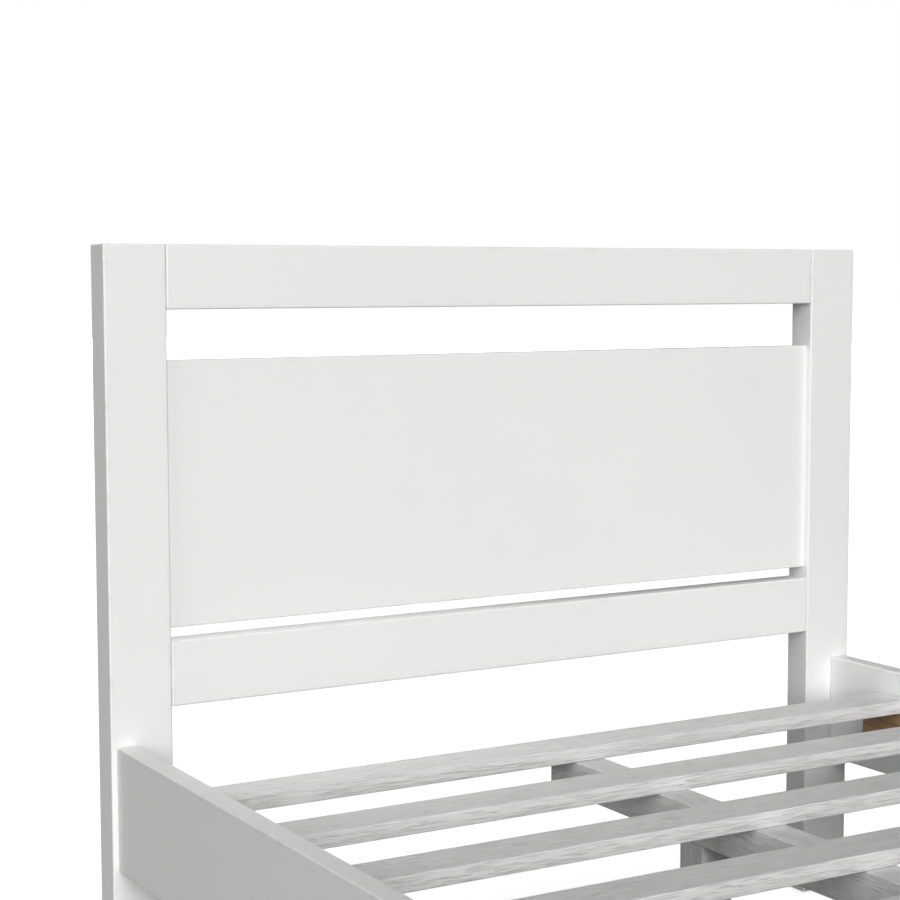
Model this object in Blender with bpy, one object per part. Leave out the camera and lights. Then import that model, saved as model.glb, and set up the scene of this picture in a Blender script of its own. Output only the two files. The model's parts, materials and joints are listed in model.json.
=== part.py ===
"""A white wooden single bed frame with a panelled headboard, a low footboard, slats and a legged centre beam.

Metres, +Z up. The origin is on the floor under the middle of the bed, the headboard stands at +Y and the
footboard at -Y. Pieces that touch are kept one fit_gap apart.
"""

import math

import bmesh
import bpy
from mathutils import Matrix, Vector

# Overall sizes
overall_width = 1.072
inner_length = 1.908  # between the head posts and the foot posts
head_height = 0.886
foot_height = 0.341

# Posts and their floor glides
post_width = 0.073
post_depth = 0.040
glide_radius = 0.012
glide_thickness = 0.003
glide_pin_radius = 0.002
glide_pin_length = 0.014

# Headboard and footboard rails, named downwards from the top of the head posts
board_rail_thickness = 0.032
top_rail_height = 0.072
top_gap = 0.0565
panel_height = 0.302
panel_thickness = 0.016
panel_recess = 0.0087
panel_tongue = 0.008
lower_gap = 0.014
lower_rail_height = 0.074
tenon_length = 0.025
tenon_thickness = 0.014
tenon_shoulder = 0.010

# Side rails, slats and the strips that carry them
rail_top = 0.329
rail_height = 0.1405
rail_thickness = 0.024
rail_inset = 0.006
slat_count = 11
slat_width = 0.0563
slat_thickness = 0.017
slat_drop = 0.031  # from the top of the side rails down to the top of the slats
slat_end_gap = 0.003
first_slat_gap = 0.1015
ledger_thickness = 0.019
ledger_height = 0.0405
ledger_end_gap = 0.087

# Centre beam and its legs
beam_width = 0.040
beam_height = 0.0405
leg_size = 0.040
end_leg_distance = 0.378  # from the posts to the axis of the first and of the last leg
leg_bolt_radius = 0.004
leg_bolt_in_leg = 0.036
leg_bolt_in_beam = 0.026

# Levelling feet of the centre legs
pad_radius = 0.016
pad_thickness = 0.008
pad_socket_depth = 0.005
stem_radius = 0.004
stem_reach = 0.032
hex_across_flats = 0.013
hex_height = 0.005
insert_radius = 0.0055
insert_length = 0.012
insert_flange_radius = 0.009
insert_flange_thickness = 0.0015

# Bolts and threaded inserts that hold the side rails to the posts
bolt_radius = 0.003
bolt_head_radius = 0.0065
bolt_head_height = 0.006
bolt_socket_flats = 0.004
bolt_socket_depth = 0.003
bolt_head_recess = 0.009
bolt_reach = 0.030
bolt_edge = 0.042
rail_insert_radius = 0.005
rail_insert_length = 0.020
rail_insert_sink = 0.001

# Finish and clearances
edge_radius = 0.002
slat_edge_radius = 0.0012
fit_gap = 0.0003
bore_clearance = 0.0004
cutter_overrun = 0.004
chamfer = 0.0008
shown_segments = 24
inner_segments = 12

# Places that several pieces share
half_width = overall_width / 2
head_front = inner_length / 2
head_back = head_front + post_depth
post_bottom = glide_thickness + fit_gap
panel_top = head_height - top_rail_height - top_gap
panel_bottom = panel_top - panel_height
lower_rail_top = panel_bottom - lower_gap
rail_bottom = rail_top - rail_height
rail_centre = half_width - rail_inset - rail_thickness / 2
rail_inner = half_width - rail_inset - rail_thickness
slat_top = rail_top - slat_drop
slat_bottom = slat_top - slat_thickness
slat_run = inner_length - 2 * first_slat_gap
slat_pitch = (slat_run - slat_width) / (slat_count - 1)
beam_top = slat_bottom - fit_gap
beam_bottom = beam_top - beam_height
hex_bottom = pad_thickness + fit_gap
insert_bottom = hex_bottom + hex_height + fit_gap
leg_bottom = insert_bottom + insert_flange_thickness + fit_gap
leg_places = {
    "head": head_front - end_leg_distance,
    "middle": 0.0,
    "foot": end_leg_distance - head_front,
}
sides = {"left": -1, "right": 1}
ends = {"head": 1, "foot": -1}


def clear_scene():
    """Remove whatever the scene already holds."""
    for item in list(bpy.data.objects):
        bpy.data.objects.remove(item, do_unlink=True)


def finish(name, colour, roughness, metallic=0.0):
    """A Principled material of one colour."""
    material = bpy.data.materials.new(name)
    material.use_nodes = True
    surface = material.node_tree.nodes["Principled BSDF"]
    surface.inputs["Base Color"].default_value = (*colour, 1.0)
    surface.inputs["Roughness"].default_value = roughness
    surface.inputs["Metallic"].default_value = metallic
    return material


def add_piece(name, mesh, material, place, turn=(0.0, 0.0, 0.0)):
    """Link a mesh into the scene as one named piece."""
    piece = bpy.data.objects.new(name, mesh)
    bpy.context.scene.collection.objects.link(piece)
    piece.location = place
    piece.rotation_euler = turn
    if material:
        mesh.materials.append(material)
    return piece


def block(name, low, high, material=None):
    """A plain square-edged block between two opposite corners."""
    low = Vector(low)
    high = Vector(high)
    bm = bmesh.new()
    bmesh.ops.create_cube(bm, size=1.0, matrix=Matrix.Diagonal((*(high - low), 1.0)))
    mesh = bpy.data.meshes.new(name)
    bm.to_mesh(mesh)
    bm.free()
    return add_piece(name, mesh, material, (low + high) / 2)


def board(name, low, high, material, radius=edge_radius):
    """A planed board with its edges eased all round."""
    piece = block(name, low, high, material)
    eased = piece.modifiers.new("eased_edges", "BEVEL")
    eased.width = radius
    eased.segments = 2
    return piece


def distance_at(angle, radius, flats):
    """How far a section's edge is from its axis: a circle's radius, or out to a polygon's flats."""
    if not flats:
        return radius
    sector = 2 * math.pi / flats
    return radius / math.cos(angle % sector - sector / 2)


def turned(name, profile, material, place, turn=(0.0, 0.0, 0.0), segments=shown_segments):
    """A piece turned about its Z axis from (radius, height) points.

    A third number makes that ring a polygon of so many flats, with the radius measured to its flats.
    A profile that starts on the axis is solid, and one that starts away from it closes into a ring.
    """
    bm = bmesh.new()
    rings = []
    for radius, height, *flats in profile:
        if radius == 0:
            rings.append([bm.verts.new((0.0, 0.0, height))] * segments)
            continue
        ring = []
        for step in range(segments):
            angle = 2 * math.pi * step / segments
            reach = distance_at(angle, radius, flats[0] if flats else 0)
            ring.append(bm.verts.new((reach * math.cos(angle), reach * math.sin(angle), height)))
        rings.append(ring)
    if profile[0][0] > 0:
        rings.append(rings[0])
    for lower, upper in zip(rings, rings[1:]):
        for step in range(segments):
            following = (step + 1) % segments
            corners = (lower[step], lower[following], upper[following], upper[step])
            bm.faces.new(dict.fromkeys(corners))
    bmesh.ops.recalc_face_normals(bm, faces=bm.faces)
    mesh = bpy.data.meshes.new(name)
    bm.to_mesh(mesh)
    bm.free()
    mesh.shade_smooth()
    mesh.set_sharp_from_angle(angle=math.radians(30))
    return add_piece(name, mesh, material, place, turn)


def rod(name, radius, length, place, turn=(0.0, 0.0, 0.0), segments=inner_segments):
    """A plain round rod that starts at its place and runs along its own +Z."""
    profile = [(0, 0), (radius, 0), (radius, length), (0, length)]
    return turned(name, profile, None, place, turn, segments)


def helper(tool):
    """Turn an object into a tool that shapes others and isn't a piece itself."""
    tool.hide_render = True
    tool.display_type = "WIRE"
    return tool


def shape(piece, tool, operation="DIFFERENCE"):
    """Cut a tool's shape out of a piece, or join it on."""
    step = piece.modifiers.new(tool.name, "BOOLEAN")
    step.operation = operation
    step.object = tool


def grown(low, high, by):
    """Two corners moved apart, for the clearance around what fits inside."""
    return [value - by for value in low], [value + by for value in high]


def post(name, side, end, height, material, glide_material):
    """One square-edged post on its nailed floor glide, and that glide."""
    near = half_width - post_width
    xs = sorted((side * near, side * half_width))
    ys = sorted((end * head_front, end * head_back))
    piece = board(name, (xs[0], ys[0], post_bottom), (xs[1], ys[1], height), material)
    foot = (sum(xs) / 2, sum(ys) / 2, 0.0)
    pin_top = glide_thickness + glide_pin_length
    glide = [
        (0, 0),
        (glide_radius - chamfer, 0),
        (glide_radius, chamfer),
        (glide_radius, glide_thickness),
        (glide_pin_radius, glide_thickness),
        (glide_pin_radius, pin_top),
        (0, pin_top),
    ]
    turned(name.replace("post", "post_glide"), glide, glide_material, foot)
    pin_hole = rod(name + "_pin_hole", glide_pin_radius + bore_clearance, pin_top + fit_gap, foot)
    shape(piece, helper(pin_hole))
    return piece


def tenoned_rail(name, front, low_z, high_z, end, posts, material):
    """A rail between two posts, with a tenon at each end in a mortise of the post.

    Both tenons are the ends of one thinner core that runs through the rail. front is the rail's show face.
    """
    reach = half_width - post_width
    ys = sorted((front, front + end * board_rail_thickness))
    low = (fit_gap - reach, ys[0], low_z)
    high = (reach - fit_gap, ys[1], high_z)
    rail = board(name, low, high, material)
    middle = sum(ys) / 2
    core_low = (-reach - tenon_length, middle - tenon_thickness / 2, low_z + tenon_shoulder)
    core_high = (reach + tenon_length, middle + tenon_thickness / 2, high_z - tenon_shoulder)
    core = block(name + "_core", core_low, core_high)
    shape(rail, helper(core), "UNION")
    mortises = block(name + "_mortises", *grown(core_low, core_high, fit_gap))
    helper(mortises)
    for upright in posts:
        shape(upright, mortises)
    return rail


def headboard(paint, plastic):
    """Two posts, a top rail, a recessed panel and a lower rail."""
    posts = [
        post("headboard_post_" + word, side, 1, head_height, paint, plastic)
        for word, side in sides.items()
    ]
    top = head_height - top_rail_height
    tenoned_rail("headboard_top_rail", head_front, top, head_height, 1, posts, paint)
    bottom = lower_rail_top - lower_rail_height
    tenoned_rail("headboard_lower_rail", head_front, bottom, lower_rail_top, 1, posts, paint)
    reach = half_width - post_width + panel_tongue
    front = head_front + panel_recess
    low = (-reach, front, panel_bottom)
    high = (reach, front + panel_thickness, panel_top)
    board("headboard_panel", low, high, paint)
    grooves = helper(block("panel_grooves", *grown(low, high, fit_gap)))
    for upright in posts:
        shape(upright, grooves)
    return posts


def footboard(paint, plastic):
    """Two short posts and one rail, flush with the posts' outer faces."""
    posts = [
        post("foot_post_" + word, side, -1, foot_height, paint, plastic)
        for word, side in sides.items()
    ]
    front = -head_back + board_rail_thickness
    tenoned_rail("foot_rail", front, rail_bottom, rail_top, -1, posts, paint)
    return posts


def side_rail(word, side, paint, bare_wood):
    """A side rail and the strip on its inner face that carries the slats."""
    xs = sorted((side * rail_inner, side * (rail_inner + rail_thickness)))
    length = head_front - fit_gap
    rail = board("side_rail_" + word, (xs[0], -length, rail_bottom), (xs[1], length, rail_top), paint)
    outer = rail_inner - fit_gap
    xs = sorted((side * outer, side * (outer - ledger_thickness)))
    reach = head_front - ledger_end_gap
    top = slat_bottom - fit_gap
    low = (xs[0], -reach, top - ledger_height)
    board("slat_ledger_" + word, low, (xs[1], reach, top), bare_wood, slat_edge_radius)
    return rail


def corner_bolts(name, side, end, upright, rail, steel):
    """Two bolts through a post, each screwed into a threaded insert in the end of a side rail."""
    turn = (end * math.pi / 2, 0.0, 0.0)
    shank = post_depth - bolt_head_recess + bolt_reach
    for level, height in (("upper", rail_top - bolt_edge), ("lower", rail_bottom + bolt_edge)):
        label = f"{name}_{level}"
        x = side * rail_centre
        head_face = head_back - bolt_head_recess + bolt_head_height + fit_gap
        tip = bolt_head_height + shank
        bolt = [
            (0, bolt_socket_depth),
            (bolt_socket_flats / 2, bolt_socket_depth, 6),
            (bolt_socket_flats / 2, 0, 6),
            (bolt_head_radius - chamfer, 0),
            (bolt_head_radius, chamfer),
            (bolt_head_radius, bolt_head_height),
            (bolt_radius, bolt_head_height),
            (bolt_radius, tip - chamfer),
            (bolt_radius - chamfer, tip),
            (0, tip),
        ]
        turned("bed_bolt_" + label, bolt, steel, (x, end * head_face, height), turn)

        outside = (x, end * (head_back + cutter_overrun), height)
        recess_radius = bolt_head_radius + bore_clearance + chamfer
        recess_depth = cutter_overrun + bolt_head_recess
        recess = rod(f"bolt_recess_{label}", recess_radius, recess_depth, outside, turn, shown_segments)
        shape(upright, helper(recess))
        bore_radius = bolt_radius + bore_clearance
        bore = rod(f"bolt_bore_{label}", bore_radius, post_depth + 2 * cutter_overrun, outside, turn)
        shape(upright, helper(bore))

        mouth = (x, end * (head_front - rail_insert_sink), height)
        sleeve = [
            (bore_radius, 0),
            (rail_insert_radius - chamfer, 0),
            (rail_insert_radius, chamfer),
            (rail_insert_radius, rail_insert_length - chamfer),
            (rail_insert_radius - chamfer, rail_insert_length),
            (bore_radius, rail_insert_length),
        ]
        turned("rail_insert_" + label, sleeve, steel, mouth, turn, inner_segments)
        rail_end = (x, end * (head_front + cutter_overrun), height)
        hole_radius = rail_insert_radius + bore_clearance
        hole_depth = cutter_overrun + rail_insert_sink + rail_insert_length + fit_gap
        full_depth = cutter_overrun + bolt_reach + 2 * fit_gap
        hole = [
            (0, 0),
            (hole_radius, 0),
            (hole_radius, hole_depth),
            (bore_radius, hole_depth),
            (bore_radius, full_depth),
            (0, full_depth),
        ]
        rail_hole = turned("rail_hole_" + label, hole, None, rail_end, turn, inner_segments)
        shape(rail, helper(rail_hole))


def slats(grained):
    """The row of slats, spaced evenly between the headboard and the footboard."""
    reach = rail_inner - slat_end_gap
    for number in range(slat_count):
        front = head_front - first_slat_gap - number * slat_pitch
        low = (-reach, front - slat_width, slat_bottom)
        high = (reach, front, slat_top)
        board(f"slat_{number + 1:02d}", low, high, grained, slat_edge_radius)


def centre_beam(grained):
    """The beam under the middle of the slats, as long as the row of slats."""
    low = (-beam_width / 2, -slat_run / 2, beam_bottom)
    high = (beam_width / 2, slat_run / 2, beam_top)
    return board("centre_beam", low, high, grained, slat_edge_radius)


def centre_leg(word, y, beam, grained, steel, plastic):
    """A square leg under the beam, bolted up into it, with a screwed levelling foot."""
    top = beam_bottom - fit_gap
    low = (-leg_size / 2, y - leg_size / 2, leg_bottom)
    high = (leg_size / 2, y + leg_size / 2, top)
    leg = board("centre_leg_" + word, low, high, grained, slat_edge_radius)

    start = top - leg_bolt_in_leg
    tip = leg_bolt_in_leg + fit_gap + leg_bolt_in_beam
    hanger = [
        (0, 0),
        (leg_bolt_radius - chamfer, 0),
        (leg_bolt_radius, chamfer),
        (leg_bolt_radius, tip - chamfer),
        (leg_bolt_radius - chamfer, tip),
        (0, tip),
    ]
    turned("leg_bolt_" + word, hanger, steel, (0.0, y, start), segments=inner_segments)
    bolt_hole_radius = leg_bolt_radius + bore_clearance
    bolt_hole = rod("leg_bolt_hole_" + word, bolt_hole_radius, tip + 2 * fit_gap, (0.0, y, start - fit_gap))
    helper(bolt_hole)
    shape(leg, bolt_hole)
    shape(beam, bolt_hole)

    bore = stem_radius + bore_clearance
    flange_top = insert_bottom + insert_flange_thickness
    insert_top = flange_top + insert_length
    insert = [
        (bore, insert_bottom),
        (insert_flange_radius, insert_bottom),
        (insert_flange_radius, flange_top),
        (insert_radius, flange_top),
        (insert_radius, insert_top),
        (bore, insert_top),
    ]
    turned("leg_insert_" + word, insert, steel, (0.0, y, 0.0))
    stem_hole_length = leg_bottom + stem_reach + cutter_overrun
    stem_hole = rod("stem_hole_" + word, insert_radius + bore_clearance, stem_hole_length, (0.0, y, 0.0))
    shape(leg, helper(stem_hole))

    stem_bottom = pad_thickness - pad_socket_depth + fit_gap
    hex_top = hex_bottom + hex_height
    stem_top = leg_bottom + stem_reach
    stem = [
        (0, stem_bottom),
        (stem_radius, stem_bottom),
        (stem_radius, hex_bottom),
        (hex_across_flats / 2, hex_bottom, 6),
        (hex_across_flats / 2, hex_top, 6),
        (stem_radius, hex_top),
        (stem_radius, stem_top - chamfer),
        (stem_radius - chamfer, stem_top),
        (0, stem_top),
    ]
    turned("leveller_stem_" + word, stem, steel, (0.0, y, 0.0))
    socket_floor = pad_thickness - pad_socket_depth
    pad = [
        (0, 0),
        (pad_radius - chamfer, 0),
        (pad_radius, chamfer),
        (pad_radius, pad_thickness - 2 * chamfer),
        (pad_radius - 2 * chamfer, pad_thickness),
        (bore, pad_thickness),
        (bore, socket_floor),
        (0, socket_floor),
    ]
    turned("leveller_pad_" + word, pad, plastic, (0.0, y, 0.0))


def main():
    """Build every piece of the bed."""
    clear_scene()
    paint = finish("white_satin_paint", (0.80, 0.80, 0.79), 0.42)
    grained = finish("white_paint_over_grain", (0.76, 0.76, 0.75), 0.55)
    bare_wood = finish("bare_pine", (0.30, 0.20, 0.12), 0.70)
    steel = finish("zinc_plated_steel", (0.62, 0.63, 0.64), 0.35, 1.0)
    plastic = finish("dark_plastic", (0.06, 0.06, 0.065), 0.50)

    uprights = {"head": headboard(paint, plastic), "foot": footboard(paint, plastic)}
    for index, (word, side) in enumerate(sides.items()):
        rail = side_rail(word, side, paint, bare_wood)
        for end_word, end in ends.items():
            corner_bolts(f"{end_word}_{word}", side, end, uprights[end_word][index], rail, steel)
    slats(grained)
    beam = centre_beam(grained)
    for word, y in leg_places.items():
        centre_leg(word, y, beam, grained, steel, plastic)


main()
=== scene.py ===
# %% [markdown]
# # A white wooden single bed
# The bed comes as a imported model: every board, bolt and foot already has its real size and place.
# This lesson gives it its looks. Boards are planed again with soft rounded edges, the levelling stems get
# their threads, and each surface gets a finish that is worked out by shader nodes.
# All sizes are in metres, +Z is up, and the headboard stands at +Y.

# %% Load the bed
import json
import math

import bpy
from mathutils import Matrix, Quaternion, Vector

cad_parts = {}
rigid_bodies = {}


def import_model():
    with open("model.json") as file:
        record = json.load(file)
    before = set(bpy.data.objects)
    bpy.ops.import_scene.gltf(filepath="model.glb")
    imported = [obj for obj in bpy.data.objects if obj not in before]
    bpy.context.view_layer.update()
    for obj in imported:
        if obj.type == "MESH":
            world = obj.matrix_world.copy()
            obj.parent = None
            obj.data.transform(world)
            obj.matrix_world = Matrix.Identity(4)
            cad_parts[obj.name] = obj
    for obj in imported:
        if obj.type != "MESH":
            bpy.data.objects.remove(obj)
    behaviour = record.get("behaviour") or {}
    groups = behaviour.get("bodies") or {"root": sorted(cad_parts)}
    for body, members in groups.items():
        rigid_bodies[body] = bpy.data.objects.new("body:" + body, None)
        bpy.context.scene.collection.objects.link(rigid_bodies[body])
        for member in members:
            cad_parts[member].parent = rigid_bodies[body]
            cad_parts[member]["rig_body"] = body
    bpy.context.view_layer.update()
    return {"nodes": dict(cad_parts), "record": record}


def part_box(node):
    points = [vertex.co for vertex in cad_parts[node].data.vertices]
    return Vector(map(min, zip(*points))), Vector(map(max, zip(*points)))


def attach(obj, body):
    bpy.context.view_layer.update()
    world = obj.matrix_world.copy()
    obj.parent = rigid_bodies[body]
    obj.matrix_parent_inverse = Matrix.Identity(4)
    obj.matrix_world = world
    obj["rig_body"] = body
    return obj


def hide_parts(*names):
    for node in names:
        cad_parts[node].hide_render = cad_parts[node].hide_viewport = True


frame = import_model()

# %% [markdown]
# ## Camera
# The view is from beside the foot of the bed, at the height of the headboard's top, looking along the slats.
# A 78 mm lens on a 36 mm sensor shows a little over 25 degrees, so the foot end stays outside the picture.
# A camera looks along its own -Z, so it is first turned up from the floor to the horizon, then tilted down,
# and then turned to the side.

# %% Camera
camera_place = Vector((-1.286, -1.080, 0.845))
camera_turn = 30.25
camera_tilt = 4.94
camera_roll = 0.10
camera_lens = 78.25


def add_camera():
    """The camera of the main view."""
    bpy.ops.object.camera_add(location=camera_place)
    camera = bpy.context.object
    camera.name = "bedside_camera"
    pitch = math.radians(90 - camera_tilt)
    camera.rotation_euler = (pitch, math.radians(camera_roll), math.radians(-camera_turn))
    camera.data.lens = camera_lens
    camera.data.sensor_width = 36.0
    camera.data.clip_start = 0.02
    bpy.context.scene.camera = camera
    return camera


bpy.ops.object.select_all(action="DESELECT")
bedside_camera = add_camera()
print("camera at", tuple(round(value, 3) for value in bedside_camera.location))

# %% [markdown]
# ## Shader maths
# A finish is a small sum of patterns. Written as nodes one by one, such a sum is hard to read, so a value in
# the node tree is wrapped in a class that knows Python's arithmetic: `1 - mask * 0.2` then adds the Math
# nodes by itself. One method adds any other node, with its settings first and its sockets after.

# %% Shader maths in Python
class Level:
    """A number that varies over a surface, as a socket that Python arithmetic can use."""

    def __init__(self, finish, socket):
        self.finish = finish
        self.socket = socket

    def sum(self, operation, first, second):
        """One Math node on two values."""
        return self.finish.node("ShaderNodeMath", {"operation": operation}, {0: first, 1: second})

    def __add__(self, other):
        return self.sum("ADD", self, other)

    def __radd__(self, other):
        return self.sum("ADD", other, self)

    def __sub__(self, other):
        return self.sum("SUBTRACT", self, other)

    def __rsub__(self, other):
        return self.sum("SUBTRACT", other, self)

    def __mul__(self, other):
        return self.sum("MULTIPLY", self, other)

    def __rmul__(self, other):
        return self.sum("MULTIPLY", other, self)

    def __pow__(self, other):
        return self.sum("POWER", self, other)

    def between(self, low, high):
        """0 below low, 1 above high, and a smooth step between them."""
        settings = {"interpolation_type": "SMOOTHSTEP"}
        sockets = {"Value": self, "From Min": low, "From Max": high}
        return self.finish.node("ShaderNodeMapRange", settings, sockets)


class Finish:
    """A material, its Principled shader and the one method that adds nodes to it."""

    def __init__(self, name, roughness, metallic=0.0):
        self.material = bpy.data.materials.new(name)
        self.material.use_nodes = True
        self.tree = self.material.node_tree
        self.surface = self.tree.nodes["Principled BSDF"]
        self.feed(self.surface.inputs["Roughness"], roughness)
        self.feed(self.surface.inputs["Metallic"], metallic)

    def feed(self, socket, value):
        """Give a socket a number, a colour or a link."""
        if isinstance(value, Level):
            self.tree.links.new(value.socket, socket)
        else:
            socket.default_value = value

    def node(self, kind, settings=None, sockets=None, output=0):
        """Any node: its settings are set first, then the values or links of its sockets."""
        made = self.tree.nodes.new(kind)
        for name, value in (settings or {}).items():
            setattr(made, name, value)
        for name, value in (sockets or {}).items():
            self.feed(made.inputs[name], value)
        return Level(self, made.outputs[output])

    def place(self, scale):
        """Object coordinates, stretched so that one unit is one feature of the pattern."""
        coordinates = self.node("ShaderNodeTexCoord", output="Object")
        return self.node("ShaderNodeMapping", {}, {"Vector": coordinates, "Scale": scale})

    def noise(self, scale, detail=2.0, roughness=0.5, distortion=0.0):
        """Noise whose features are 1 / scale metres large along X, Y and Z."""
        sockets = {
            "Vector": self.place(scale),
            "Scale": 1.0,
            "Detail": detail,
            "Roughness": roughness,
            "Distortion": distortion,
        }
        return self.node("ShaderNodeTexNoise", {}, sockets)

    def mix(self, share, first, second):
        """One colour going over into another."""
        settings = {"data_type": "RGBA"}
        return self.node("ShaderNodeMix", settings, {0: share, 6: first, 7: second}, output=2)

    def colour(self, value):
        """Set the base colour."""
        self.feed(self.surface.inputs["Base Color"], value)

    def relief(self, height, distance, strength=1.0):
        """Bump from a height pattern, distance metres deep at full strength."""
        sockets = {"Height": height, "Distance": distance, "Strength": strength}
        self.feed(self.surface.inputs["Normal"], self.node("ShaderNodeBump", {}, sockets))


def along_grain(direction, across, length):
    """A pattern scale with features so many metres across the grain and so long along it."""
    return tuple(1 / length if axis == direction else 1 / across for axis in range(3))


print("shader maths ready")

# %% [markdown]
# ## White satin paint
# The headboard, the footboard and the side rails are sprayed with an opaque white. Close up such a film is
# never flat: it has a fine orange peel, the grain swells faintly through it, and its gloss drifts where the
# spray fell thicker. Handling rubs the rounded edges smoother and a little darker.
# Grain runs along a board, so there is one paint for each of the three directions.

# %% White satin paint
paint_white = (0.900, 0.900, 0.897, 1.0)
paint_shade = (0.882, 0.882, 0.877, 1.0)
paint_rubbed = (0.700, 0.690, 0.660, 1.0)
directions = "xyz"


def satin_paint(direction):
    """Sprayed white paint on boards whose grain runs along one axis."""
    finish = Finish(f"satin_paint_{directions[direction]}", 0.4)
    drift = finish.noise((3.1, 3.1, 3.1), detail=3.0)
    peel = finish.noise((520.0, 520.0, 520.0), detail=1.0)
    swelling = finish.noise(along_grain(direction, 0.004, 0.110), detail=4.0, roughness=0.6)
    rub = finish.node("ShaderNodeAttribute", {"attribute_name": "edge_rub"}, output="Fac")
    patches = finish.noise((38.0, 38.0, 38.0), detail=4.0, roughness=0.65).between(0.50, 0.72)
    rubbed = rub * patches
    tone = finish.mix(drift.between(0.35, 0.70), paint_white, paint_shade)
    finish.colour(finish.mix(rubbed * 0.35, tone, paint_rubbed))
    finish.feed(finish.surface.inputs["Roughness"], 0.36 + drift * 0.12 - rubbed * 0.08 + peel * 0.05)
    finish.relief(peel * 0.35 + swelling * 0.65, 0.00022, 0.6)
    return finish.material


satin_paints = [satin_paint(direction) for direction in range(3)]
print("satin paints:", [material.name for material in satin_paints])

# %% [markdown]
# ## Thin white paint over open grain
# The slats, the centre beam and its legs are covered by the mattress, so they get one thin coat. The pores of
# the wood stay open in it and show as fine grey streaks along the board, over the fibres and the slower waves
# of the year rings. Three noises stretched along the grain make them, and the streaks sink in the bump.

# %% Thin paint over grain
thin_white = (0.800, 0.800, 0.797, 1.0)
thin_streak = (0.560, 0.558, 0.550, 1.0)
thin_ring = (0.735, 0.733, 0.728, 1.0)


def grained_paint(direction):
    """Thin white paint whose grain runs along one axis."""
    finish = Finish(f"grained_paint_{directions[direction]}", 0.5)
    rings = finish.noise(along_grain(direction, 0.009, 0.300), detail=3.0, distortion=0.8)
    pores = finish.noise(along_grain(direction, 0.0009, 0.030), detail=2.0, roughness=0.6)
    fibres = finish.noise(along_grain(direction, 0.0018, 0.070), detail=4.0, roughness=0.65)
    rub = finish.node("ShaderNodeAttribute", {"attribute_name": "edge_rub"}, output="Fac")
    streaks = pores.between(0.53, 0.66)
    bands = rings.between(0.40, 0.66)
    body = finish.mix(bands * 0.2 + fibres.between(0.42, 0.62) * 0.5, thin_white, thin_ring)
    finish.colour(finish.mix(streaks * (0.42 + bands * 0.22) * (1 - rub * 0.5), body, thin_streak))
    finish.feed(finish.surface.inputs["Roughness"], 0.46 + streaks * 0.18 + bands * 0.06)
    finish.relief(fibres * 0.6 - streaks * 0.8 + bands * 0.2, 0.0005, 0.9)
    return finish.material


grained_paints = [grained_paint(direction) for direction in range(3)]
print("grained paints:", [material.name for material in grained_paints])

# %% [markdown]
# ## Bare brown wood
# The strips that carry the slats are left unpainted. Sawn softwood has dark late-wood lines a few
# millimetres apart, a warm body between them and a dry, rough surface.

# %% Bare wood
bare_light = (0.500, 0.325, 0.180, 1.0)
bare_dark = (0.215, 0.125, 0.062, 1.0)
bare_body = (0.370, 0.235, 0.125, 1.0)


def bare_wood(direction):
    """Unpainted wood whose grain runs along one axis."""
    finish = Finish(f"bare_wood_{directions[direction]}", 0.7)
    rings = finish.noise(along_grain(direction, 0.0045, 0.380), detail=5.0, distortion=0.9)
    fibres = finish.noise(along_grain(direction, 0.0009, 0.030), detail=3.0, roughness=0.7)
    lines = rings.between(0.47, 0.60)
    ground = finish.mix(fibres.between(0.35, 0.65), bare_light, bare_body)
    finish.colour(finish.mix(lines * 0.6 + fibres * 0.15, ground, bare_dark))
    finish.feed(finish.surface.inputs["Roughness"], 0.62 + fibres * 0.25)
    finish.relief(fibres * 0.7 - lines * 0.4, 0.0005, 0.9)
    return finish.material


strip_wood = bare_wood(1)
print("bare wood:", strip_wood.name)

# %% [markdown]
# ## Zinc-plated steel and moulded plastic
# Bolts, nuts and screws are zinc plated: grey metal with a slight blue and cloudy patches where the bath left
# it duller. The glides and the pads of the feet are dark moulded plastic with a fine spark-eroded texture,
# scuffed paler where it meets the floor.

# %% Steel and plastic
zinc_bright = (0.66, 0.67, 0.69, 1.0)
zinc_dull = (0.46, 0.47, 0.48, 1.0)
plastic_dark = (0.030, 0.030, 0.033, 1.0)
plastic_scuffed = (0.140, 0.138, 0.132, 1.0)


def zinc_steel():
    """Plated steel with cloudy patches."""
    finish = Finish("zinc_plated_steel_finish", 0.3, 1.0)
    clouds = finish.noise((210.0, 210.0, 210.0), detail=4.0, roughness=0.6)
    scratches = finish.noise((2600.0, 380.0, 380.0), detail=2.0)
    finish.colour(finish.mix(clouds.between(0.40, 0.68), zinc_bright, zinc_dull))
    finish.feed(finish.surface.inputs["Roughness"], 0.22 + clouds * 0.22 + scratches * 0.08)
    finish.relief(scratches * 0.6 + clouds * 0.4, 0.00006, 0.5)
    return finish.material


def moulded_plastic():
    """Dark plastic, scuffed in its lowest millimetres."""
    finish = Finish("moulded_plastic_finish", 0.5)
    texture = finish.noise((1500.0, 1500.0, 1500.0), detail=2.0)
    scuffs = finish.noise((160.0, 160.0, 60.0), detail=5.0, roughness=0.7)
    height = finish.node("ShaderNodeSeparateXYZ", {}, {0: finish.place((1.0, 1.0, 1.0))}, output=2)
    low_down = 1 - height.between(0.0, 0.004)
    finish.colour(finish.mix(scuffs.between(0.45, 0.70) * low_down, plastic_dark, plastic_scuffed))
    finish.feed(finish.surface.inputs["Roughness"], 0.42 + texture * 0.14 + low_down * 0.12)
    finish.relief(texture, 0.0001, 0.6)
    return finish.material


zinc = zinc_steel()
plastic = moulded_plastic()
print("metal and plastic:", zinc.name, plastic.name)

# %% [markdown]
# ## Working on one piece at a time
# An operator acts on everything that is selected, and loading leaves the bed's own nodes selected. So each
# step first clears the selection and then picks its one piece. A finished piece keeps its object at the
# origin and its place in its mesh, which transform_apply does.

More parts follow.
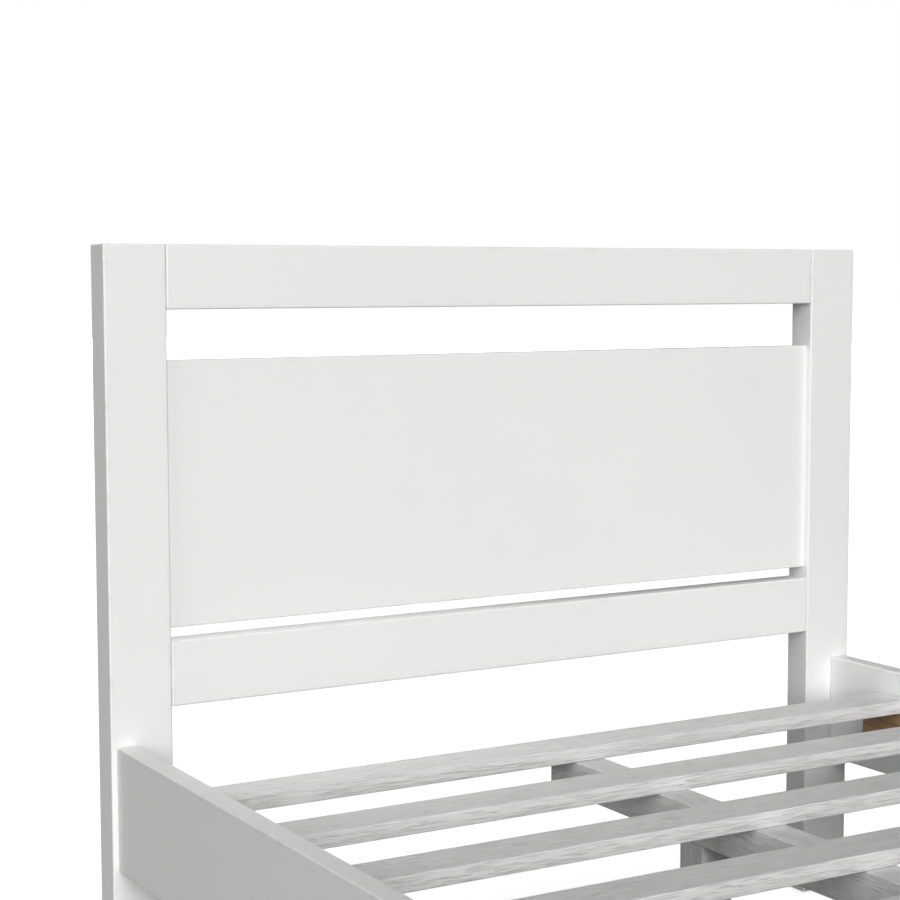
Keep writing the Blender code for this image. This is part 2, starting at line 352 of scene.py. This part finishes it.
# %% Selection and finishing helpers
def pick(piece):
    """Select one piece and nothing else."""
    bpy.ops.object.select_all(action="DESELECT")
    piece.select_set(True)
    bpy.context.view_layer.objects.active = piece


def new_piece(name):
    """Name the primitive that was just added and put its place into its mesh."""
    piece = bpy.context.object
    piece.name = name
    piece.data.name = name
    pick(piece)
    bpy.ops.object.transform_apply(location=True, rotation=True, scale=True)
    return piece


def apply_modifier(piece, kind, **settings):
    """Add a modifier, set it and apply it."""
    modifier = piece.modifiers.new(kind.lower(), kind)
    for name, value in settings.items():
        setattr(modifier, name, value)
    pick(piece)
    bpy.ops.object.modifier_apply(modifier=modifier.name)


def work_with(piece, tool, operation="DIFFERENCE"):
    """Cut a tool's shape from a piece, or join it on, and clear the tool away."""
    apply_modifier(piece, "BOOLEAN", object=tool, operation=operation, solver="EXACT")
    bpy.data.objects.remove(tool, do_unlink=True)


def shade(piece, angle=35):
    """Smooth shading that stays flat on the large faces and sharp at real corners."""
    pick(piece)
    bpy.ops.object.shade_smooth_by_angle(angle=math.radians(angle))
    apply_modifier(piece, "WEIGHTED_NORMAL", keep_sharp=True, weight=75)


def install(piece, node, material):
    """Give a piece its finish and let it stand for a node of the bed."""
    piece.data.materials.clear()
    piece.data.materials.append(material)
    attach(piece, frame["nodes"][node]["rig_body"])
    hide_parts(node)


def copy_of(piece, name, shift):
    """A copy with a mesh of its own, moved by a shift."""
    pick(piece)
    bpy.ops.object.duplicate(linked=False)
    bpy.ops.transform.translate(value=shift)
    return new_piece(name)


print("helpers ready")

# %% [markdown]
# ## Planing a board
# Every board starts as a cube at the box that the model gives for it. In edit mode all twelve edges are
# bevelled with four steps, which rounds them as a router bit does. Each large face is then inset by a few
# millimetres: the extra loop keeps the face flat up to the rounding, and it lets an attribute called
# edge_rub fade from 1 on the edges to 0 inside, where the paint reads it.

# %% Boards
board_edge = 0.002
slat_edge = 0.0012
rounding_steps = 4
rub_width = 0.004


def select_faces(piece, chosen):
    """Select the faces for which chosen(face) is true, ready for edit mode."""
    bpy.context.tool_settings.mesh_select_mode = (False, False, True)
    bpy.ops.object.mode_set(mode="EDIT")
    bpy.ops.mesh.select_all(action="DESELECT")
    bpy.ops.object.mode_set(mode="OBJECT")
    for face in piece.data.polygons:
        face.select = chosen(face)


def square_block(name, low, high):
    """A square-edged block between two opposite corners."""
    bpy.ops.object.select_all(action="DESELECT")
    low = Vector(low)
    high = Vector(high)
    bpy.ops.mesh.primitive_cube_add(size=1.0, location=(low + high) / 2, scale=high - low)
    return new_piece(name)


def planed_board(name, low, high, edge=board_edge):
    """A board with rounded edges, flat faces and the edge_rub attribute."""
    piece = square_block(name, low, high)
    bpy.ops.object.mode_set(mode="EDIT")
    bpy.ops.mesh.select_all(action="SELECT")
    bpy.ops.mesh.bevel(offset=edge, segments=rounding_steps, affect="EDGES")
    bpy.ops.object.mode_set(mode="OBJECT")
    widest_rounding = edge * max(Vector(high) - Vector(low))
    select_faces(piece, lambda face: face.area > widest_rounding or max(map(abs, face.normal)) > 0.9999)
    bpy.ops.object.mode_set(mode="EDIT")
    bpy.ops.mesh.inset(thickness=rub_width, depth=0.0, use_individual=True)
    bpy.ops.object.mode_set(mode="OBJECT")
    inner = {corner for face in piece.data.polygons if face.select for corner in face.vertices}
    rub = piece.data.attributes.new("edge_rub", "FLOAT", "POINT")
    for vertex in piece.data.vertices:
        rub.data[vertex.index].value = 0.0 if vertex.index in inner else 1.0
    return piece


def drill(piece, mouth, along, radius, depth, sides=32):
    """Bore a round hole into a piece from its mouth."""
    along = Vector(along)
    middle = Vector(mouth) + along * depth / 2
    turn = along.to_track_quat("Z", "Y").to_euler()
    bpy.ops.object.select_all(action="DESELECT")
    bpy.ops.mesh.primitive_cylinder_add(
        vertices=sides, radius=radius, depth=depth, location=middle, rotation=turn
    )
    work_with(piece, new_piece("drill"))


# %% [markdown]
# ## Slats
# One slat is planed from the box of the first, then copied ten times down the bed. The finish reads
# coordinates of the whole bed, so each copy lands on its own stretch of grain and no two look alike.

# %% Slats
slat_nodes = sorted(name for name in frame["nodes"] if name.startswith("slat_") and name[5:].isdigit())
first_low, first_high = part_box(slat_nodes[0])
first_slat = planed_board("slat_01_board", first_low, first_high, slat_edge)
shade(first_slat)
for node in slat_nodes[1:]:
    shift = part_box(node)[0] - first_low
    install(copy_of(first_slat, f"{node}_board", shift), node, grained_paints[0])
install(first_slat, slat_nodes[0], grained_paints[0])
print("slats:", len(slat_nodes))

# %% [markdown]
# ## Centre beam and legs
# The beam runs under all the slats, and three square legs carry it. Each leg is held by a bolt that is driven
# half into the leg and half into the beam, so both have a blind hole for it. A second hole in the foot of the
# leg takes the threaded insert of its levelling foot.

# %% Centre beam and legs
bore_clearance = 0.0004
fit_gap = 0.0003
overrun = 0.004
insert_hole = 0.0059
leg_words = ("head", "middle", "foot")


def middle_of(node):
    """The middle of a node's box."""
    low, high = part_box(node)
    return (low + high) / 2


beam = planed_board("centre_beam_board", *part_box("centre_beam"), slat_edge)
for word in leg_words:
    leg_node = f"centre_leg_{word}"
    leg = planed_board(f"{leg_node}_board", *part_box(leg_node), slat_edge)
    bolt_low, bolt_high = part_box(f"leg_bolt_{word}")
    bolt_axis = middle_of(f"leg_bolt_{word}")
    bolt_hole = (bolt_high.x - bolt_low.x) / 2 + bore_clearance
    foot_of_hole = Vector((bolt_axis.x, bolt_axis.y, bolt_low.z - fit_gap))
    for holder in (leg, beam):
        drill(holder, foot_of_hole, (0, 0, 1), bolt_hole, bolt_high.z - bolt_low.z + 2 * fit_gap)
    stem_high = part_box(f"leveller_stem_{word}")[1]
    leg_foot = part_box(leg_node)[0].z
    mouth = Vector((bolt_axis.x, bolt_axis.y, leg_foot - overrun))
    drill(leg, mouth, (0, 0, 1), insert_hole, stem_high.z - leg_foot + 2 * overrun)
    shade(leg)
    install(leg, leg_node, grained_paints[2])
shade(beam)
install(beam, "centre_beam", grained_paints[1])
print("beam and", len(leg_words), "legs")

# %% [markdown]
# ## Ledger strips and their screws
# A bare strip is screwed along the inside of each side rail. Seven countersunk screws hold it, and a cone cut
# into the strip gives each head its seat. The cross recess is two crossed slots, cut to a slope in real
# screws and straight here, which no eye can tell at this size.

# %% Ledger strips
screw_head_radius = 0.0040
screw_shank_radius = 0.0018
screw_length = 0.034
screw_head_height = 0.0026
screw_head_overlap = 0.0002
screw_tip_length = 0.006
screw_tip_radius = 0.0002
recess_depth = 0.0015
recess_long = 0.0024
recess_short = 0.0005
screw_end_distance = 0.150
screw_count = 7
head_sink = 0.0003
seat_wide = 0.0063
seat_narrow = 0.0015
seat_depth = 0.00526
seat_lead = 0.002
seat_spin = math.radians(5)


def cone(name, place, along, wide, narrow, depth, sides=32, spin=0.0):
    """A cone or a straight rod that starts at its wide end, spun about its axis, along a direction."""
    along = Vector(along)
    turn = (along.to_track_quat("Z", "Y") @ Quaternion((0, 0, 1), spin)).to_euler()
    bpy.ops.object.select_all(action="DESELECT")
    bpy.ops.mesh.primitive_cone_add(
        vertices=sides,
        radius1=wide,
        radius2=narrow,
        depth=depth,
        location=Vector(place) + along * depth / 2,
        rotation=turn,
    )
    return new_piece(name)


def wood_screw(name, place, along):
    """A countersunk screw with a cross recess, its head level with place."""
    along = Vector(along)
    screw = cone(name, place, along, screw_head_radius, screw_shank_radius, screw_head_height)
    shank_start = Vector(place) + along * (screw_head_height - screw_head_overlap)
    shank_length = screw_length - 0.008
    shank = cone("shank", shank_start, along, screw_shank_radius, screw_shank_radius, shank_length)
    work_with(screw, shank, "UNION")
    tip_start = shank_start + along * (shank_length - screw_head_overlap)
    tip = cone("tip", tip_start, along, screw_shank_radius, screw_tip_radius, screw_tip_length)
    work_with(screw, tip, "UNION")
    place = Vector(place)
    for half in ((recess_depth, recess_long, recess_short), (recess_depth, recess_short, recess_long)):
        slot = square_block("slot", place - Vector(half), place + Vector(half))
        work_with(screw, slot)
    shade(screw)
    return screw


for word, side in (("left", -1), ("right", 1)):
    node = f"slat_ledger_{word}"
    low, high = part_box(node)
    strip = planed_board(f"{node}_board", low, high, slat_edge)
    inner_face = high.x if side < 0 else low.x
    middle_height = (low.z + high.z) / 2
    step = (high.y - low.y - 2 * screw_end_distance) / (screw_count - 1)
    first_screw = None
    for number in range(screw_count):
        y = high.y - screw_end_distance - number * step
        mouth = Vector((inner_face - side * overrun, y, middle_height))
        sunk = Vector((inner_face + side * head_sink, y, middle_height))
        outward = (side, 0, 0)
        drill(strip, mouth, outward, screw_shank_radius + fit_gap, overrun + high.x - low.x + fit_gap, 16)
        seat_mouth = sunk - Vector(outward) * seat_lead
        seat = cone("seat", seat_mouth, outward, seat_wide, seat_narrow, seat_depth, spin=seat_spin)
        work_with(strip, seat)
        name = f"ledger_screw_{word}_{number + 1}"
        if first_screw is None:
            screw = first_screw = wood_screw(name, sunk, outward)
            first_y = y
        else:
            screw = copy_of(first_screw, name, (0, y - first_y, 0))
        screw.data.materials.clear()
        screw.data.materials.append(zinc)
        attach(screw, "bed_frame")
    shade(strip)
    install(strip, node, strip_wood)
print("ledger strips with", 2 * screw_count, "screws")

# %% [markdown]
# ## Headboard and footboard rails
# A rail's box includes its two tenons, so the visible part ends at the inner faces of the posts. Each rail is
# planed to its shoulders, and one thinner block that runs right through is joined on, which leaves a tenon
# at each end. The panel has no tenons: its ends slide into a groove in each post.

# %% Rails and panel
tenon_thickness = 0.014
tenon_shoulder = 0.010
head_post_low, head_post_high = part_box("headboard_post_right")
post_inner = head_post_low.x


def tenon_core(node, margin=0.0):
    """The corners of the block whose ends are a rail's tenons, with a margin for the mortise."""
    low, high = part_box(node)
    middle = (low.y + high.y) / 2
    grow = Vector((margin, margin, margin))
    core_low = Vector((low.x, middle - tenon_thickness / 2, low.z + tenon_shoulder))
    core_high = Vector((high.x, middle + tenon_thickness / 2, high.z - tenon_shoulder))
    return core_low - grow, core_high + grow


for node in ("headboard_top_rail", "headboard_lower_rail", "foot_rail"):
    low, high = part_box(node)
    shoulder = post_inner - fit_gap
    rail = planed_board(f"{node}_board", (-shoulder, low.y, low.z), (shoulder, high.y, high.z))
    work_with(rail, square_block("tenons", *tenon_core(node)), "UNION")
    shade(rail)
    install(rail, node, satin_paints[0])
panel = planed_board("headboard_panel_board", *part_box("headboard_panel"))
shade(panel)
install(panel, "headboard_panel", satin_paints[0])
print("rails and panel planed; posts are", round(head_post_high.x - post_inner, 3), "wide")

# %% [markdown]
# ## Posts
# Each post has a mortise for every tenon, two stepped bolt holes and a small hole under its foot for the pin
# of its glide. The two head posts also have a groove for the panel. Each is cut with a margin around the
# piece that goes in, taken from that piece's own box, so the joints stay true if the bed changes.

# %% Posts
bolt_recess_depth = 0.009
recess_clearance = 0.0012
bolt_radius = 0.003
glide_pin_hole = 0.0024
post_rails = {
    "headboard": ("headboard_top_rail", "headboard_lower_rail"),
    "foot": ("foot_rail",),
}


def bolt_holes(piece, bolt_node, outside, along):
    """The bore of one bolt through a piece, from outside the post to past the bolt's tip."""
    low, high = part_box(bolt_node)
    axis = (low + high) / 2
    mouth = Vector((axis.x, outside, axis.z))
    depth = max(abs(low.y - outside), abs(high.y - outside)) + fit_gap
    drill(piece, mouth, (0, along, 0), bolt_radius + bore_clearance, depth)


for board_word, rail_nodes in post_rails.items():
    end_word = "head" if board_word == "headboard" else "foot"
    end = 1 if end_word == "head" else -1
    for side_word in ("left", "right"):
        node = f"{board_word}_post_{side_word}"
        low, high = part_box(node)
        post = planed_board(f"{node}_board", low, high)
        for rail_node in rail_nodes:
            work_with(post, square_block("mortise", *tenon_core(rail_node, fit_gap)))
        if board_word == "headboard":
            margin = Vector((fit_gap, fit_gap, fit_gap))
            panel_low, panel_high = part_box("headboard_panel")
            work_with(post, square_block("groove", panel_low - margin, panel_high + margin))
        outside = (high.y if end > 0 else low.y) + end * overrun
        for level in ("upper", "lower"):
            bolt_node = f"bed_bolt_{end_word}_{side_word}_{level}"
            axis = middle_of(bolt_node)
            head_radius = (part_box(bolt_node)[1].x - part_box(bolt_node)[0].x) / 2
            mouth = Vector((axis.x, outside, axis.z))
            drill(post, mouth, (0, -end, 0), head_radius + recess_clearance, overrun + bolt_recess_depth, 48)
            bolt_holes(post, bolt_node, outside, -end)
        glide_node = f"{board_word}_post_glide_{side_word}"
        pin_axis = middle_of(glide_node)
        pin_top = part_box(glide_node)[1].z + fit_gap
        drill(post, (pin_axis.x, pin_axis.y, 0), (0, 0, 1), glide_pin_hole, pin_top)
        shade(post)
        install(post, node, satin_paints[2])
print("posts planed and bored")

# %% [markdown]
# ## Side rails
# The two long rails butt against the posts. Each end is bored for the threaded inserts, and a narrower bore
# behind them leaves room for the tips of the bolts.

# %% Side rails
for side_word in ("left", "right"):
    node = f"side_rail_{side_word}"
    low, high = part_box(node)
    rail = planed_board(f"{node}_board", low, high)
    for end_word, end in (("head", 1), ("foot", -1)):
        outside = end * (abs(high.y) + overrun)
        for level in ("upper", "lower"):
            label = f"{end_word}_{side_word}_{level}"
            bolt_holes(rail, f"bed_bolt_{label}", outside, -end)
            insert_low, insert_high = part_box(f"rail_insert_{label}")
            insert_axis = (insert_low + insert_high) / 2
            mouth = Vector((insert_axis.x, outside, insert_axis.z))
            depth = max(abs(insert_low.y - outside), abs(insert_high.y - outside)) + fit_gap
            drill(rail, mouth, (0, -end, 0), (insert_high.x - insert_low.x) / 2 + bore_clearance, depth)
    shade(rail)
    install(rail, node, satin_paints[1])
print("side rails planed and bored")

# %% [markdown]
# ## Levelling stems
# A stem screws up into its leg, so its thread is a real helix. One tooth, drawn as two slanted edges, is spun
# round the axis while it climbs by one pitch a turn. The ends of the helix are filled. A plain shank that
# stands in the pad and a hexagon for the spanner are then joined on below. The shank stops inside the
# hexagon, short of the thread: two round surfaces of one radius that overlapped would not join cleanly.

# %% Levelling stems
stem_radius = 0.004
shank_overlap = 0.0015
thread_pitch = 0.00125
thread_depth = 0.0005
thread_steps = 24
hexagon_height = 0.005
hexagon_edge = 0.0004


def threaded_rod(name, place, radius, turns):
    """A closed rod with a helical thread that climbs from a place along Z."""
    bpy.ops.object.select_all(action="DESELECT")
    bpy.ops.mesh.primitive_plane_add(size=1.0)
    rod = new_piece(name)
    bpy.context.tool_settings.mesh_select_mode = (True, False, False)
    bpy.ops.object.mode_set(mode="EDIT")
    bpy.ops.mesh.select_all(action="DESELECT")
    bpy.ops.object.mode_set(mode="OBJECT")
    rod.data.vertices[3].select = True
    bpy.ops.object.mode_set(mode="EDIT")
    bpy.ops.mesh.delete(type="VERT")
    bpy.ops.object.mode_set(mode="OBJECT")
    crest, top, bottom = rod.data.vertices
    bottom.co = (radius - thread_depth, 0, 0)
    crest.co = (radius, 0, thread_pitch / 2)
    top.co = (radius - thread_depth, 0, thread_pitch)
    apply_modifier(
        rod,
        "SCREW",
        axis="Z",
        angle=math.tau,
        screw_offset=thread_pitch,
        iterations=turns,
        steps=thread_steps,
        render_steps=thread_steps,
    )
    bpy.ops.object.mode_set(mode="EDIT")
    bpy.ops.mesh.select_all(action="SELECT")
    bpy.ops.mesh.remove_doubles(threshold=0.00001)
    bpy.ops.mesh.select_all(action="SELECT")
    bpy.ops.mesh.fill_holes(sides=0)
    bpy.ops.mesh.select_all(action="SELECT")
    bpy.ops.mesh.normals_make_consistent(inside=False)
    bpy.ops.object.mode_set(mode="OBJECT")
    pick(rod)
    bpy.ops.transform.translate(value=place)
    return new_piece(name)


first_stem = None
for word in leg_words:
    node = f"leveller_stem_{word}"
    low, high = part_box(node)
    axis = middle_of(node)
    if first_stem is None:
        spread = high - low
        corner_radius = max(spread.x, spread.y) / 2
        turn_to_corner = math.radians(90) if spread.x > spread.y else 0.0
        hexagon_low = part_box(f"leveller_pad_{word}")[1].z + fit_gap
        thread_start = hexagon_low + hexagon_height / 2
        turns = int((high.z - thread_start) / thread_pitch) - 1
        stem = threaded_rod(f"{node}_rod", (axis.x, axis.y, thread_start), stem_radius, turns)
        foot_of_stem = Vector((axis.x, axis.y, low.z))
        shank_length = hexagon_low + shank_overlap - low.z
        shank = cone("shank", foot_of_stem, (0, 0, 1), stem_radius, stem_radius, shank_length)
        bpy.ops.object.select_all(action="DESELECT")
        bpy.ops.mesh.primitive_cylinder_add(
            vertices=6,
            radius=corner_radius,
            depth=hexagon_height,
            location=(axis.x, axis.y, hexagon_low + hexagon_height / 2),
            rotation=(0, 0, turn_to_corner),
        )
        hexagon = new_piece("hexagon")
        bpy.ops.object.mode_set(mode="EDIT")
        bpy.ops.mesh.select_all(action="SELECT")
        bpy.ops.mesh.bevel(offset=hexagon_edge, segments=2, affect="EDGES")
        bpy.ops.object.mode_set(mode="OBJECT")
        work_with(hexagon, shank, "UNION")
        work_with(stem, hexagon, "UNION")
        shade(stem)
        first_stem = stem
        first_axis = axis
    else:
        stem = copy_of(first_stem, f"{node}_rod", axis - first_axis)
    install(stem, node, zinc)
print("levelling stems with", turns, "turns of thread")

# %% [markdown]
# ## Floor, daylight and lamps
# The bed stands in a plain bright studio. The floor glows enough to look white, and the bed's own shade still
# shows on it where the posts touch down. For the light that it throws back up it is a dull grey, or the
# undersides would look lit from below. Three large soft lamps light the fronts most, the tops less and the
# left sides least. A fourth, low behind the headboard, keeps its back from looking black. Some of it slips
# through under the panel and brightens the top edge of the lower rail, so it is kept weak.

# %% Stage
floor_radius = 60.0
floor_glow = 0.76
floor_white = (0.86, 0.86, 0.86, 1.0)
floor_grey = (0.30, 0.30, 0.30, 1.0)
sky_strength = 0.02
lamp_aim = Vector((0.0, 0.3, 0.4))
lamp_distance = 28.0
lamps = {
    "front_lamp": ((-0.28, -0.92, 0.30), 15.0, 6400.0),
    "left_lamp": ((-0.93, -0.26, 0.25), 14.0, 2150.0),
    "top_lamp": ((0.00, -0.20, 0.98), 14.0, 1540.0),
    "back_lamp": ((0.30, 0.93, 0.12), 14.0, 2000.0),
}


def studio_floor():
    """A pale floor: white to look at, and a dull grey for the light that it throws back."""
    finish = Finish("pale_floor", 0.9)
    cast = finish.noise((0.8, 0.8, 0.8), detail=1.0)
    seen = finish.node("ShaderNodeLightPath", output=0)
    finish.colour(finish.mix(seen, floor_grey, finish.mix(cast, floor_white, (0.85, 0.85, 0.85, 1.0))))
    place = finish.node("ShaderNodeTexCoord", output=3)
    reach = finish.node("ShaderNodeVectorMath", {"operation": "LENGTH"}, {0: place}, output=1)
    glow = seen * (floor_glow + reach.between(3.5, 11.0) * (1 - floor_glow))
    finish.feed(
        finish.surface.inputs["Emission Color"],
        finish.node("ShaderNodeCombineColor", {}, {0: glow, 1: glow, 2: glow}),
    )
    finish.feed(finish.surface.inputs["Emission Strength"], 1.0)
    finish.feed(finish.surface.inputs["Specular IOR Level"], 0.0)
    bpy.ops.object.select_all(action="DESELECT")
    bpy.ops.mesh.primitive_circle_add(vertices=64, radius=floor_radius, fill_type="NGON")
    floor = new_piece("studio_floor")
    floor.data.materials.append(finish.material)
    return floor


def studio_sky():
    """An even sky that lights softly and looks white behind the bed."""
    world = bpy.data.worlds.new("studio_sky")
    world.use_nodes = True
    bpy.context.scene.world = world
    tree = world.node_tree
    backdrop = tree.nodes["Background"]
    backdrop.inputs["Color"].default_value = (1.0, 1.0, 1.0, 1.0)
    rays = tree.nodes.new("ShaderNodeLightPath")
    strength = tree.nodes.new("ShaderNodeMapRange")
    strength.inputs["To Min"].default_value = sky_strength
    strength.inputs["To Max"].default_value = 1.0
    tree.links.new(rays.outputs["Is Camera Ray"], strength.inputs["Value"])
    tree.links.new(strength.outputs["Result"], backdrop.inputs["Strength"])


def studio_lamp(name, direction, size, power):
    """One large soft lamp that shines on the bed from a direction."""
    direction = Vector(direction).normalized()
    bpy.ops.object.select_all(action="DESELECT")
    bpy.ops.object.light_add(type="AREA", location=lamp_aim + direction * lamp_distance)
    lamp = bpy.context.object
    lamp.name = name
    lamp.data.shape = "SQUARE"
    lamp.data.size = size
    lamp.data.energy = power
    lamp.rotation_euler = direction.to_track_quat("Z", "Y").to_euler()


studio_floor()
studio_sky()
for lamp_name, (direction, size, power) in lamps.items():
    studio_lamp(lamp_name, direction, size, power)
bpy.context.scene.view_settings.view_transform = "Standard"
print("stage ready with", len(lamps), "lamps")

# %% [markdown]
# ## Remaining nodes
# Nodes whose solid is already right keep it and only take a finish.

# %% Finishes of the kept nodes
slot_finishes = {"zinc_plated_steel": zinc, "dark_plastic": plastic}
kept = 0
for entry in frame["record"]["subparts"]:
    node = frame["nodes"][entry["node"]]
    if node.hide_render:
        continue
    node.data.materials.clear()
    node.data.materials.append(slot_finishes[entry["material_slot"]])
    kept += 1
print("kept nodes:", kept)
